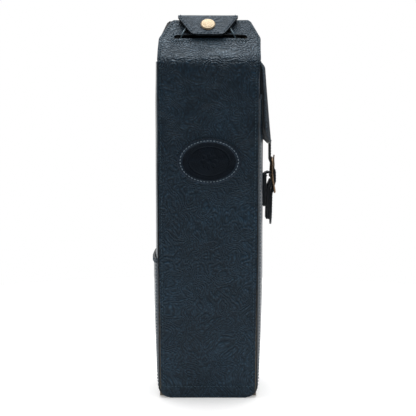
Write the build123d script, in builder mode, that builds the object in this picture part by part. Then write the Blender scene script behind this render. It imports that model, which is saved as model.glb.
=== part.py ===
"""Tall leather carrying case: a slim stiffened box with two folding roof panels.

The two roof panels lean together over the mouth like a gable. Each has a hand slot, and a
snap tab holds them together over the ridge. A flap, a strap and a small buckle close the
front pocket, and a second, lower slip pocket is sewn to the back.

Frame: the origin is the centre of the base's underside, +Z is up, the flap faces +X, and
the oval patch is on the panel that faces -Y. All sizes are in millimetres.
"""
from math import acos, atan2, cos, degrees, hypot, radians, sin
import os

from build123d import *

# ---- driving dimensions: the box ----------------------------------------------------
body_width = 111.0        # X, over the front and back panels
body_depth = 110.0        # Y, over the two side panels
shoulder_height = 372.0   # Z of the fold line where the roof panels begin
hide = 2.0                # thickness of the outer leather
board = 2.0               # thickness of the stiffening board
lining = 1.0              # thickness of the lining sleeve
base_board_height = 3.0
board_setback = 2.0       # boards and lining stop this far below the fold line
edge_radius = 1.6         # rounded outer edges of the front and back panels
fold_gap = 0.3            # free space at every fold between two moving pieces

# ---- driving dimensions: the roof panels --------------------------------------------
ridge_rise = 45.0         # height of the panels' top hems above the fold line
ridge_half_gap = 9.0      # from the middle of the ridge to each top hem
roof_board = 0.8
roof_lining = 1.2
roof_top_width = 90.0     # X, along the top hem
roof_corner_run = 38.0    # distance up the slope to where the corners are cut off
roof_board_inset = 3.0
slot_length = 80.0        # X
slot_width = 10.5         # along the slope
slot_start = 31.5         # distance up the slope to the slot's lower lip

# ---- driving dimensions: the snap tab and its stud tongue ----------------------------
tab_slope = 47.0          # degrees below the horizontal
tab_length = 28.5
tab_root_width = 65.0
tab_end_width = 31.0
tab_corner_radius = 4.0
tab_leather = 1.8
tab_lining = 1.2
tab_tip_start = 37.5      # distance up the roof slope to the tab's tip
tab_tip_clearance = 1.5   # between the tab's tip and the tongue below it
tongue_thickness = 1.8
tongue_start = 46.6
tongue_end = 61.5
tongue_bottom_width = 56.0
tongue_top_width = 45.0
tongue_corner_radius = 3.0
wrap_thickness = 3.0
wrap_width = 62.0
snap_from_root = 12.4
cap_radius = 8.2
cap_height = 2.4
socket_radius = 5.0
socket_height = 0.9
stud_radius = 4.0
stud_height = 0.5
post_radius = 2.0

# ---- driving dimensions: the patch and the pockets -----------------------------------
patch_length = 71.5       # X
patch_height = 49.5       # Z
patch_thickness = 1.6
patch_drop = 108.4        # from the fold line down to the patch's centre
pocket_leather = 1.8
pocket_gap = 1.0          # the pocket lies flat, with only this much room
pocket_margin = 3.0       # the pocket stops this far inside the panel's edges
welt_width = 6.0
binding_width = 5.0
binding_thickness = 0.6
back_pocket_height = 156.0   # from the base up to the back pocket's mouth
front_pocket_drop = 36.0  # from the fold line down to the front pocket's mouth

# ---- driving dimensions: the front flap ----------------------------------------------
flap_width = 96.0         # Y
flap_leather = 1.8
flap_lining = 1.2
flap_bend_radius = 8.0    # outer radius of the bend at the flap's root
flap_bend_stand_off = 8.9  # from the front panel to the bend's outermost point
flap_bend_drop = 9.7      # from the fold line down to the bend's centre
flap_root_angle = 94.0    # degrees round the bend to the flap's root edge
flap_drop = 91.0          # from the fold line down to the middle of the flap's end
flap_end_stand_off = 15.8  # from the front panel to the outer face at the flap's end
flap_corner_rise = 12.0   # the end's corners are this much higher than its middle

# ---- driving dimensions: the strap, buckle and chape ---------------------------------
strap_width = 24.0
strap_thickness = 1.8
strap_length = 92.5       # from the flap's end to the strap's tip, measured upright
chape_thickness = 1.5
bar_radius = 1.1
bar_stand_off = 16.2      # from the front panel to the buckle's centre bar
bar_drop = 36.4           # from the flap's end down to the centre bar
buckle_width = 33.0       # Y, over the side rails
buckle_top_rise = 19.5
buckle_bottom_drop = 19.5
buckle_top_stand_off = 17.8
buckle_bottom_stand_off = 20.2
buckle_end_radius = 1.3
rail_width = 3.0
rail_depth = 2.0
prong_width = 2.4
prong_ring_clearance = 0.15
prong_ring_wall = 0.9
prong_slot_clearance = 1.0
release_radius = 7.0
release_height = 1.7
release_gap = 0.5
release_drop = 23.0       # from the centre bar down to the snap's middle
chape_back_drop = 34.7    # from the centre bar down to the end of the back leg
chape_front_drop = 49.6   # from the centre bar down to the end of the front leg
chape_front_stand_off = 13.8
chape_fold_drop = 12.0    # from the bar down to where the chape's legs straighten
loop_clearance = 0.1      # round the centre bar, inside the chape and under the strap
strap_clearance = 0.4     # between the strap and the buckle's end bars
strap_bend_radius = 4.0
strap_slot_half_height = 7.0
prong_thickness = 1.5
prong_tip_over = 2.5      # the prong's tip reaches this far past the top bar

# ---- worked-out places ----------------------------------------------------------------
half_width = body_width / 2
half_depth = body_depth / 2
side_half_width = half_width - hide
board_top = shoulder_height - board_setback
roof_run = half_depth - ridge_half_gap
roof_length = hypot(roof_run, ridge_rise)
roof_angle = degrees(atan2(ridge_rise, roof_run))
slot_middle = slot_start + slot_width / 2
tab_thickness = tab_leather + tab_lining
pocket_face = half_width + pocket_gap + pocket_leather

flap_end_z = shoulder_height - flap_drop
bar = Vector(half_width + bar_stand_off, flap_end_z - bar_drop)
top_bar = Vector(half_width + buckle_top_stand_off, bar.Y + buckle_top_rise)
bottom_bar = Vector(half_width + buckle_bottom_stand_off, bar.Y - buckle_bottom_drop)
chape_back_x = pocket_face + 2 * release_height + release_gap + chape_thickness / 2
flap_end_x = half_width + flap_end_stand_off

parts_folder = "parts"
os.makedirs(parts_folder, exist_ok=True)


def save(node: Part, label: str) -> None:
    """Label a finished piece and write it as a STEP file."""
    node.label = label
    export_step(node, f"{parts_folder}/{label}.step")


def roof_plane(side: int, depth: float = 0.0) -> Plane:
    """Plane on a roof panel: X along the fold, Y up the slope, Z outwards.

    side is -1 for the right panel and +1 for the left one; depth is below its outer face.
    """
    normal = Vector(0, side * sin(radians(roof_angle)), cos(radians(roof_angle)))
    origin = Vector(0, side * half_depth, shoulder_height) - normal * depth
    return Plane(origin=origin, x_dir=(-side, 0, 0), z_dir=normal)


def tab_plane() -> Plane:
    """Plane on the inner face of the snap tab: origin at its root edge, Y up the tab."""
    slope = radians(tab_slope)
    tip = roof_plane(-1).from_local_coords((0, tab_tip_start, tongue_thickness + tab_tip_clearance))
    root = tip + Vector(0, cos(slope), sin(slope)) * tab_length
    return Plane(origin=root, x_dir=(1, 0, 0), z_dir=(0, -sin(slope), cos(slope)))


def box_between(low: tuple, high: tuple, mode: Mode = Mode.ADD) -> None:
    """Add a box to the current part, or cut one, from its lowest to its highest corner."""
    size = [b - a for a, b in zip(low, high)]
    middle = Vector(low) + Vector(*size) / 2
    with Locations(middle):
        Box(*size, mode=mode)


# ---- the box: outer leather -------------------------------------------------------------
def make_side_panel(side: int, label: str) -> None:
    """Outer leather of one side, from the base to the fold line."""
    inner, outer = sorted((side * (half_depth - hide), side * half_depth))
    with BuildPart() as panel:
        box_between((-side_half_width, inner, 0), (side_half_width, outer, shoulder_height))
    save(panel.part, label)


def make_end_panel(side: int, label: str) -> None:
    """Outer leather of the front or back; it laps over the side panels' cut edges."""
    inner, outer = sorted((side * side_half_width, side * half_width))
    with BuildPart() as panel:
        box_between((inner, -half_depth, 0), (outer, half_depth, shoulder_height))
        edges = panel.edges().filter_by(Axis.Z).group_by(Axis.X)
        fillet(edges[-1 if side > 0 else 0], radius=edge_radius)
    save(panel.part, label)


def make_base_panel() -> None:
    """Outer leather of the base, between the four walls."""
    with BuildPart() as panel:
        reach_y = half_depth - hide
        box_between((-side_half_width, -reach_y, 0), (side_half_width, reach_y, hide))
    save(panel.part, "base_panel")


# ---- the box: stiffening boards and lining ----------------------------------------------
def make_side_board(side: int, label: str) -> None:
    """Stiffening board behind a side panel."""
    outer_face = half_depth - hide
    inner, outer = sorted((side * (outer_face - board), side * outer_face))
    reach = side_half_width - board
    with BuildPart() as stiffener:
        box_between((-reach, inner, hide), (reach, outer, board_top))
    save(stiffener.part, label)


def make_end_board(side: int, label: str) -> None:
    """Stiffening board behind the front or back panel."""
    inner, outer = sorted((side * (side_half_width - board), side * side_half_width))
    reach = half_depth - hide
    with BuildPart() as stiffener:
        box_between((inner, -reach, hide), (outer, reach, board_top))
    save(stiffener.part, label)


def make_base_board() -> None:
    """Stiffening board that lies on the base panel, inside the four wall boards."""
    reach_x = side_half_width - board
    reach_y = half_depth - hide - board
    top = hide + base_board_height
    with BuildPart() as stiffener:
        box_between((-reach_x, -reach_y, hide), (reach_x, reach_y, top))
    save(stiffener.part, "base_board")


def make_lining_sleeve() -> None:
    """Soft lining: an open-topped sleeve with a floor, glued to the boards."""
    reach_x = side_half_width - board
    reach_y = half_depth - hide - board
    floor_z = hide + base_board_height
    with BuildPart() as sleeve:
        box_between((-reach_x, -reach_y, floor_z), (reach_x, reach_y, board_top))
        top = sleeve.faces().sort_by(Axis.Z)[-1]
        offset(amount=-lining, openings=top)
    save(sleeve.part, "lining_sleeve")


# ---- roof panels ----------------------------------------------------------------------------
def make_roof_layer(side: int, depth: float, thickness: float, inset: float, label: str) -> None:
    """One layer of a roof panel, with its hand slot and its foot cut level with the fold."""
    bottom = side_half_width - inset
    top = roof_top_width / 2 - inset
    foot = -hide * 3
    with BuildPart() as layer:
        with BuildSketch(roof_plane(side, depth)):
            with BuildLine():
                Polyline(
                    (-bottom, foot),
                    (bottom, foot),
                    (bottom, roof_corner_run),
                    (top, roof_length - inset),
                    (-top, roof_length - inset),
                    (-bottom, roof_corner_run),
                    close=True,
                )
            make_face()
            with Locations((0, slot_middle)):
                SlotOverall(slot_length + inset, slot_width + inset, mode=Mode.SUBTRACT)
        extrude(amount=-thickness)
        split(bisect_by=Plane.XY.offset(shoulder_height + fold_gap), keep=Keep.TOP)
    save(layer.part, label)


def make_stud_tongue() -> None:
    """Inner leg of the grip wrap, sewn on the right panel's strip, that carries the stud."""
    with BuildPart() as tongue:
        with BuildSketch(roof_plane(-1)):
            with BuildLine():
                Polyline(
                    (-tongue_bottom_width / 2, tongue_start),
                    (tongue_bottom_width / 2, tongue_start),
                    (tongue_top_width / 2, tongue_end),
                    (-tongue_top_width / 2, tongue_end),
                    close=True,
                )
            outline = make_face()
            fillet(outline.vertices().group_by(Axis.Y)[-1], radius=tongue_corner_radius)
        extrude(amount=tongue_thickness)
    save(tongue.part, "stud_tongue")


def make_snap_stud() -> None:
    """Lower half of the snap, riveted to the tongue straight below the cap."""
    below = tab_plane().from_local_coords((0, -snap_from_root, -socket_height))
    place = roof_plane(-1).to_local_coords(below)
    with BuildPart() as stud:
        with BuildSketch(roof_plane(-1).offset(tongue_thickness)):
            with Locations((0, place.Y)):
                Circle(stud_radius)
        extrude(amount=stud_height)
    save(stud.part, "snap_stud")


# ---- snap tab and grip wrap ------------------------------------------------------------------
def make_tab_layer(height: float, thickness: float, label: str) -> None:
    """One layer of the trapezoid tab, mitred at its root and pierced for the snap's post."""
    fold_y = tab_plane().from_local_coords((0, 0, tab_thickness)).Y
    with BuildPart() as layer:
        with BuildSketch(tab_plane().offset(height)):
            with BuildLine():
                Polyline(
                    (-tab_root_width / 2, 0),
                    (-tab_end_width / 2, -tab_length),
                    (tab_end_width / 2, -tab_length),
                    (tab_root_width / 2, 0),
                    close=True,
                )
            outline = make_face()
            fillet(outline.vertices().group_by(Axis.Y)[0], radius=tab_corner_radius)
            with Locations((0, -snap_from_root)):
                Circle(post_radius, mode=Mode.SUBTRACT)
        extrude(amount=thickness)
        split(bisect_by=Plane.XZ.offset(fold_gap / 2 - fold_y), keep=Keep.TOP)
    save(layer.part, label)


def make_snap_cap() -> None:
    """Round cap on the tab's outer face, with its post through the leather."""
    with BuildPart() as cap:
        with BuildSketch(tab_plane().offset(tab_thickness)):
            with Locations((0, -snap_from_root)):
                Circle(cap_radius)
        extrude(amount=cap_height)
        rim = cap.faces().sort_by(Axis(origin=(0, 0, 0), direction=tab_plane().z_dir))[-1]
        fillet(rim.edges(), radius=cap_height * 0.6)
        with BuildSketch(tab_plane()):
            with Locations((0, -snap_from_root)):
                Circle(post_radius)
        extrude(amount=tab_thickness)
    save(cap.part, "snap_cap")


def make_snap_socket() -> None:
    """Upper half of the snap, under the tab."""
    with BuildPart() as socket:
        with BuildSketch(tab_plane()):
            with Locations((0, -snap_from_root)):
                Circle(socket_radius)
        extrude(amount=-socket_height)
    save(socket.part, "snap_socket")


def make_grip_wrap() -> None:
    """Leather grip sewn on the left panel's strip; its top runs over the ridge to the tab."""
    fold = tab_plane().from_local_coords((0, 0, tab_thickness))
    middle_z = fold.Z - wrap_thickness / 2
    leg_height = fold_gap + wrap_thickness / 2
    foot = roof_plane(1).from_local_coords((0, tongue_start, leg_height))
    slope = radians(roof_angle)
    rise = middle_z - foot.Z
    shoulder_y = foot.Y - rise * cos(slope) / sin(slope)
    with BuildPart() as wrap:
        with BuildSketch(Plane.YZ):
            with BuildLine() as path:
                FilletPolyline(
                    (fold.Y + fold_gap / 2, middle_z),
                    (shoulder_y, middle_z),
                    (foot.Y, foot.Z),
                    radius=wrap_thickness * 2,
                )
            trace(path.edges(), line_width=wrap_thickness)
        extrude(amount=wrap_width / 2, both=True)
    save(wrap.part, "grip_wrap")


# ---- patch and pockets ------------------------------------------------------------------------
def make_oval_patch() -> None:
    """Oval leather patch sewn on the right side panel."""
    with BuildPart() as patch:
        with BuildSketch(Plane.XZ.offset(half_depth)):
            with Locations((0, shoulder_height - patch_drop)):
                Ellipse(patch_length / 2, patch_height / 2)
        extrude(amount=patch_thickness)
        rim = patch.faces().sort_by(Axis.Y)[0]
        fillet(rim.edges(), radius=patch_thickness / 2)
    save(patch.part, "oval_patch")


def make_pocket(side: int, mouth: float, label: str) -> None:
    """Flat slip pocket on the front or back panel: front leather, welt strips and binding."""
    reach = half_depth - pocket_margin

    def between(low_x: float, high_x: float, low: tuple, high: tuple) -> None:
        near, far = sorted((side * low_x, side * high_x))
        box_between((near, low[0], low[1]), (far, high[0], high[1]))

    with BuildPart() as welt:
        inner, outer = half_width, half_width + pocket_gap
        between(inner, outer, (-reach, pocket_margin), (reach, pocket_margin + welt_width))
        side_start = pocket_margin + welt_width
        between(inner, outer, (-reach, side_start), (welt_width - reach, mouth))
        between(inner, outer, (reach - welt_width, side_start), (reach, mouth))
    save(welt.part, f"{label}_welt")

    with BuildPart() as front:
        between(outer, pocket_face, (-reach, pocket_margin), (reach, mouth))
    save(front.part, f"{label}_front")

    with BuildPart() as binding:
        face = pocket_face + binding_thickness
        between(pocket_face, face, (-reach, mouth - binding_width), (reach, mouth))
    save(binding.part, f"{label}_binding")


# ---- front flap ----------------------------------------------------------------------------------
def make_flap_layer(outer: float, inner: float, label: str) -> None:
    """One layer of the flap: a bend at the root, then a straight fall to a curved end.

    outer and inner are the layer's depths below the flap's outer face.
    """
    centre = Vector(half_width + flap_bend_stand_off - flap_bend_radius,
                    shoulder_height - flap_bend_drop)
    end = Vector(flap_end_x, flap_end_z)
    reach = end - centre
    swing = degrees(atan2(reach.Y, reach.X))
    start_angle = swing + degrees(acos(flap_bend_radius / reach.length))
    sweep_angle = flap_root_angle - start_angle
    normal = Vector(cos(radians(start_angle)), sin(radians(start_angle)))
    corner_z = flap_end_z + flap_corner_rise
    with BuildPart() as layer:
        with BuildSketch(Plane.XZ):
            with BuildLine():
                bend = CenterArc(centre, flap_bend_radius - outer, start_angle, sweep_angle)
                under = CenterArc(centre, flap_bend_radius - inner, start_angle, sweep_angle)
                Line(bend @ 1, under @ 1)
                Polyline(bend @ 0, end - normal * outer, end - normal * inner, under @ 0)
            make_face()
        extrude(amount=flap_width / 2, both=True)
        with BuildSketch(Plane.YZ):
            with BuildLine():
                Polyline(
                    (-flap_width / 2, corner_z),
                    (-flap_width / 2, shoulder_height),
                    (flap_width / 2, shoulder_height),
                    (flap_width / 2, corner_z),
                )
                ThreePointArc(
                    (flap_width / 2, corner_z),
                    (0, flap_end_z),
                    (-flap_width / 2, corner_z),
                )
            make_face()
        extrude(amount=body_width, mode=Mode.INTERSECT)
    save(layer.part, label)


# ---- strap, chape and buckle -----------------------------------------------------------------------
def make_strap() -> None:
    """Strap from the flap's end, behind the buckle's end bars and over its centre bar."""
    half = strap_thickness / 2
    over_bar = bar.X + bar_radius + chape_thickness + 2 * loop_clearance + half
    behind = buckle_end_radius + strap_clearance + half
    top_z = flap_end_z - fold_gap
    tip_z = flap_end_z - strap_length
    with BuildPart() as strap:
        with BuildSketch(Plane.XZ):
            with BuildLine() as path:
                FilletPolyline(
                    (flap_end_x - half, top_z),
                    (top_bar.X - behind, top_bar.Y),
                    (over_bar, bar.Y + buckle_top_rise / 5),
                    (over_bar, bar.Y - buckle_bottom_drop / 5),
                    (bottom_bar.X - behind, bottom_bar.Y + buckle_end_radius),
                    (bottom_bar.X - behind - strap_thickness / 2, tip_z),
                    radius=strap_bend_radius,
                )
            trace(path.edges(), line_width=strap_thickness)
        extrude(amount=strap_width / 2, both=True)
        with BuildSketch(Plane.YZ):
            with BuildLine():
                Polyline(
                    (-strap_width / 2, tip_z + strap_width / 2),
                    (-strap_width / 2, top_z),
                    (strap_width / 2, top_z),
                    (strap_width / 2, tip_z + strap_width / 2),
                )
                ThreePointArc(
                    (strap_width / 2, tip_z + strap_width / 2),
                    (0, tip_z),
                    (-strap_width / 2, tip_z + strap_width / 2),
                )
            make_face()
            with Locations((0, bar.Y + strap_slot_half_height * 0.6)):
                slot = prong_width + 2 * prong_slot_clearance
                SlotOverall(2 * strap_slot_half_height, slot, rotation=90, mode=Mode.SUBTRACT)
        extrude(amount=body_width, mode=Mode.INTERSECT)
    save(strap.part, "strap")


def make_chape() -> None:
    """Short leather loop that holds the buckle by its centre bar; its back leg snaps on."""
    loop = bar_radius + loop_clearance + chape_thickness / 2
    turn = Vector(chape_back_x, bar.Y - chape_fold_drop / 2)
    front = Vector(half_width + chape_front_stand_off, bar.Y - chape_fold_drop)
    front_end = Vector(front.X - loop_clearance * 4, bar.Y - chape_front_drop)
    to_turn, to_front = turn - bar, front - bar
    back_angle = degrees(atan2(to_turn.Y, to_turn.X) - acos(loop / to_turn.length)) + 360
    front_angle = degrees(atan2(to_front.Y, to_front.X) + acos(loop / to_front.length))
    with BuildPart() as chape:
        with BuildSketch(Plane.XZ):
            with BuildLine() as path:
                arc = CenterArc(bar, loop, back_angle, front_angle - back_angle)
                Polyline((chape_back_x, bar.Y - chape_back_drop), turn, arc @ 0)
                Polyline(arc @ 1, front, front_end)
            trace(path.edges(), line_width=chape_thickness)
        extrude(amount=strap_width / 2, both=True)
        slot = prong_width / 2 + prong_slot_clearance
        low = (bar.X - loop * 2, -slot, bar.Y - loop * 2)
        high = (bar.X + loop * 2, slot, bar.Y + loop * 2)
        box_between(low, high, Mode.SUBTRACT)
    save(chape.part, "chape")


def make_buckle_frame() -> None:
    """Cast frame: two end bars, two side rails and the centre bar."""
    rail_y = (buckle_width - rail_width) / 2
    with BuildPart() as frame:
        with BuildSketch(Plane.XZ):
            with BuildLine() as path:
                Polyline(top_bar, bar, bottom_bar)
            trace(path.edges(), line_width=rail_depth)
            for place in (top_bar, bar, bottom_bar):
                with Locations(place):
                    Circle(rail_depth / 2)
        extrude(amount=buckle_width / 2, both=True)
        with Locations((bar.X, 0, bar.Y)):
            Box(body_width, 2 * rail_y - rail_width, body_width, mode=Mode.SUBTRACT)
        with BuildSketch(Plane.XZ):
            for place in (top_bar, bottom_bar):
                with Locations(place):
                    Circle(buckle_end_radius)
            with Locations(bar):
                Circle(bar_radius)
        extrude(amount=buckle_width / 2 - rail_width / 2, both=True)
    save(frame.part, "buckle_frame")


def make_buckle_prong() -> None:
    """Prong that turns on the centre bar, comes through the strap and lies on the top bar."""
    bore = bar_radius + prong_ring_clearance
    ring = bore + prong_ring_wall
    half = prong_thickness / 2
    crest_x = bar.X + bar_radius + chape_thickness + strap_thickness + 2 * half
    with BuildPart() as prong:
        with BuildSketch(Plane.XZ):
            with BuildLine() as path:
                Polyline(
                    (bar.X + ring - half, bar.Y),
                    (crest_x, bar.Y + prong_thickness * 2),
                    (top_bar.X + buckle_end_radius + prong_thickness / 2 + loop_clearance,
                     top_bar.Y + prong_tip_over),
                )
            trace(path.edges(), line_width=prong_thickness)
            with Locations(bar):
                Circle(ring)
                Circle(bore, mode=Mode.SUBTRACT)
        extrude(amount=prong_width / 2, both=True)
    save(prong.part, "buckle_prong")


def make_release_snap() -> None:
    """Hidden quick-release snap: a stud on the front pocket, a socket on the chape's back."""
    for start, label in (
        (pocket_face, "release_stud"),
        (pocket_face + release_height + release_gap, "release_socket"),
    ):
        with BuildPart() as half:
            with BuildSketch(Plane.YZ.offset(start)):
                with Locations((0, bar.Y - release_drop)):
                    Circle(release_radius)
            extrude(amount=release_height)
        save(half.part, label)


def main() -> None:
    """Build every piece and write it to the parts folder."""
    make_side_panel(-1, "right_side_panel")
    make_side_panel(1, "left_side_panel")
    make_end_panel(1, "front_panel")
    make_end_panel(-1, "back_panel")
    make_base_panel()
    make_side_board(-1, "right_board")
    make_side_board(1, "left_board")
    make_end_board(1, "front_board")
    make_end_board(-1, "back_board")
    make_base_board()
    make_lining_sleeve()
    for side, label in ((-1, "right_roof"), (1, "left_roof")):
        make_roof_layer(side, 0, hide, 0, f"{label}_panel")
        make_roof_layer(side, hide, roof_board, roof_board_inset, f"{label}_board")
        make_roof_layer(side, hide + roof_board, roof_lining, 0, f"{label}_lining")
    make_stud_tongue()
    make_snap_stud()
    make_tab_layer(tab_lining, tab_leather, "snap_tab")
    make_tab_layer(0, tab_lining, "snap_tab_lining")
    make_snap_cap()
    make_snap_socket()
    make_grip_wrap()
    make_oval_patch()
    make_pocket(-1, back_pocket_height, "back_pocket")
    make_pocket(1, shoulder_height - front_pocket_drop, "front_pocket")
    make_flap_layer(0, flap_leather, "front_flap")
    make_flap_layer(flap_leather, flap_leather + flap_lining, "front_flap_lining")
    make_strap()
    make_chape()
    make_buckle_frame()
    make_buckle_prong()
    make_release_snap()


main()
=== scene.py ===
"""Looks of a tall leather carrying case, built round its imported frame.

Every piece is in metres in the frame's own axes: +Z up, the flap faces +X, and the panel
with the oval patch faces -Y. Leather sheets are cut flat, then bent to a surface.
"""

import logging
import math
from dataclasses import dataclass, field
from enum import Enum
from typing import Callable, Iterable, Optional, Union

import bmesh
import bpy
from mathutils import Matrix, Vector, noise


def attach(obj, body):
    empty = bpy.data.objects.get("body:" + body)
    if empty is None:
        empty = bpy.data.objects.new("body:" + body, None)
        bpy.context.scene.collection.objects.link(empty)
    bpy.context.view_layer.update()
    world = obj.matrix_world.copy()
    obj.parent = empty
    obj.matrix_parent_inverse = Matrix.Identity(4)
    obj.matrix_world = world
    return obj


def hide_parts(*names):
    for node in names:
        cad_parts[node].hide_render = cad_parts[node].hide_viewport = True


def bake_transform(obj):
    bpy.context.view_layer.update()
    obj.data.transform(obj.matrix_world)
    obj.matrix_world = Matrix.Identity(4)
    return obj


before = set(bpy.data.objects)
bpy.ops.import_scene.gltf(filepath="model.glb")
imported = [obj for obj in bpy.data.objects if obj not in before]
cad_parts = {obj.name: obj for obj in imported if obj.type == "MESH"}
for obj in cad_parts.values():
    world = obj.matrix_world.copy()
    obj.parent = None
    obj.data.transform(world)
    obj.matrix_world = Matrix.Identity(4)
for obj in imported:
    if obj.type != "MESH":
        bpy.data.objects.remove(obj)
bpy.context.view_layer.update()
log = logging.getLogger("carrying_case")
MM = 0.001
WALL = 55 * MM
Colour = tuple[float, float, float, float]


# ---- shader maths ----------------------------------------------------------------------------
class Value:
    """A node socket that takes part in Python arithmetic."""

    def __init__(self, shade: "Shade", socket: bpy.types.NodeSocket) -> None:
        """Keeps the socket and the material that it belongs to."""
        self.shade = shade
        self.socket = socket

    def _math(self, operation: str, first: "Number", second: "Number") -> "Value":
        """Adds one Math node for an operator."""
        return self.shade.node("ShaderNodeMath", {"operation": operation}, {0: first, 1: second})

    def __add__(self, other: "Number") -> "Value":
        """Sum."""
        return self._math("ADD", self, other)

    def __radd__(self, other: "Number") -> "Value":
        """Reflected sum."""
        return self._math("ADD", other, self)

    def __sub__(self, other: "Number") -> "Value":
        """Difference."""
        return self._math("SUBTRACT", self, other)

    def __rsub__(self, other: "Number") -> "Value":
        """Reflected difference."""
        return self._math("SUBTRACT", other, self)

    def __mul__(self, other: "Number") -> "Value":
        """Product."""
        return self._math("MULTIPLY", self, other)

    def __rmul__(self, other: "Number") -> "Value":
        """Reflected product."""
        return self._math("MULTIPLY", other, self)

    def __pow__(self, other: "Number") -> "Value":
        """Power."""
        return self._math("POWER", self, other)

    def sine(self) -> "Value":
        """Sine of the value, in radians."""
        return self._math("SINE", self, 0.0)

    def clamp(self) -> "Value":
        """The value held between 0 and 1."""
        return self.shade.node("ShaderNodeClamp", {}, {0: self})


Number = Union[Value, float]


class Shade:
    """One material's node tree round a Principled shader."""

    def __init__(self, name: str, **constants: object) -> None:
        """Makes the material.

        Args:
            name: the material's name.
            constants: values for the shader's own sockets, with _ for each space.
        """
        self.material = bpy.data.materials.new(name)
        self.material.use_nodes = True
        self.tree = self.material.node_tree
        self.shader = self.tree.nodes["Principled BSDF"]
        for key, value in constants.items():
            self.shader.inputs[key.replace("_", " ")].default_value = value

    def node(self, kind: str, settings: dict, inputs: dict, output: Union[int, str] = 0) -> Value:
        """Adds a node.

        Args:
            kind: the node's type.
            settings: its properties.
            inputs: values or links of its sockets, by name or number.
            output: which output to return.

        Returns:
            The node's output.
        """
        made = self.tree.nodes.new(kind)
        for key, value in settings.items():
            setattr(made, key, value)
        for key, value in inputs.items():
            if isinstance(value, Value):
                self.tree.links.new(value.socket, made.inputs[key])
            else:
                made.inputs[key].default_value = value
        return Value(self, made.outputs[output])

    def place(self) -> Value:
        """Object coordinates."""
        return self.node("ShaderNodeTexCoord", {}, {}, "Object")

    def noise(self, place: Value, scale: float, detail: float = 2.0, output: str = "Fac") -> Value:
        """Soft noise at a place."""
        sockets = {"Vector": place, "Scale": scale, "Detail": detail}
        return self.node("ShaderNodeTexNoise", {}, sockets, output)

    def warp(self, place: Value, scale: float, amount: float) -> Value:
        """A place pushed about by soft noise.

        Args:
            place: the place to push.
            scale: the noise's scale.
            amount: how far it pushes, in metres.

        Returns:
            The pushed place.
        """
        push = self.noise(place, scale, 1.0, "Color")
        settings = {"operation": "MULTIPLY_ADD"}
        return self.node("ShaderNodeVectorMath", settings, {0: push, 1: (amount,) * 3, 2: place})

    def mix(self, factor: Number, low: Union[Value, Colour], high: Union[Value, Colour]) -> Value:
        """One colour over another."""
        settings = {"data_type": "RGBA"}
        return self.node("ShaderNodeMix", settings, {0: factor, 6: low, 7: high}, 2)

    def feed(self, socket: str, value: Value) -> None:
        """Links a value to one of the shader's sockets."""
        self.tree.links.new(value.socket, self.shader.inputs[socket])

    def bump(self, height: Value, strength: float, distance: float) -> None:
        """Feeds a height to the shader's normal."""
        sockets = {"Height": height, "Strength": strength, "Distance": distance}
        self.feed("Normal", self.node("ShaderNodeBump", {}, sockets))


# ---- finishes --------------------------------------------------------------------------------
@dataclass(frozen=True)
class Leather:
    """Grained leather with swirling fine wrinkles."""

    name: str
    dark: Colour
    light: Colour
    grain: float = 400.0
    swirl: float = 95.0
    relief: float = 0.55
    roughness: float = 0.5
    depth: float = 0.7 * MM
    gloss: float = 0.5
    coat: float = 0.0

    def material(self) -> bpy.types.Material:
        """Builds the material.

        Returns:
            The material.
        """
        shade = Shade(self.name, IOR=1.5, Specular_Tint=(0.72, 0.89, 1.0, 1.0),
                      Specular_IOR_Level=self.gloss, Coat_Weight=self.coat, Coat_Roughness=0.22)
        place = shade.place()
        bent = shade.warp(place, 26.0, 0.030)
        cells = {"Vector": bent, "Scale": self.grain, "Randomness": 1.0}
        settings = {"feature": "DISTANCE_TO_EDGE"}
        crackle = (shade.node("ShaderNodeTexVoronoi", settings, cells) * 3.0).clamp()
        rings = (shade.noise(bent, 44.0, 1.0) * self.swirl).sine() * 0.5 + 0.5
        fine = shade.noise(place, self.grain * 2.0, 2.0)
        cloud = shade.noise(place, 16.0, 4.0)
        height = crackle * 0.45 + rings * 0.5 + fine * 0.12
        shade.bump(height, self.relief, self.depth)
        tone = (crackle * 0.5 + rings * 0.32 + (cloud - 0.5) * 1.0).clamp() ** 1.5
        shade.feed("Base Color", shade.mix(tone, self.dark, self.light))
        rough = self.roughness + (1.0 - tone) * 0.25 + (cloud - 0.5) * 0.2
        shade.feed("Roughness", rough.clamp())
        return shade.material


@dataclass(frozen=True)
class Plain:
    """A smooth finish with fine noise in its colour, roughness and surface."""

    name: str
    dark: Colour
    light: Colour
    scale: float = 300.0
    relief: float = 0.2
    roughness: float = 0.5
    metallic: float = 0.0
    sheen: float = 0.0
    gloss: float = 0.5

    def material(self) -> bpy.types.Material:
        """Builds the material.

        Returns:
            The material.
        """
        shade = Shade(self.name, Metallic=self.metallic, Sheen_Weight=self.sheen,
                      Specular_IOR_Level=self.gloss)
        place = shade.place()
        grain = shade.noise(place, self.scale, 4.0)
        cloud = shade.noise(place, self.scale * 0.12, 3.0)
        shade.bump(grain, self.relief, 0.3 * MM)
        tone = ((grain - 0.5) * 0.9 + (cloud - 0.5) * 1.6 + 0.5).clamp()
        shade.feed("Base Color", shade.mix(tone, self.dark, self.light))
        shade.feed("Roughness", (self.roughness + (cloud - 0.5) * 0.3).clamp())
        return shade.material


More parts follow.
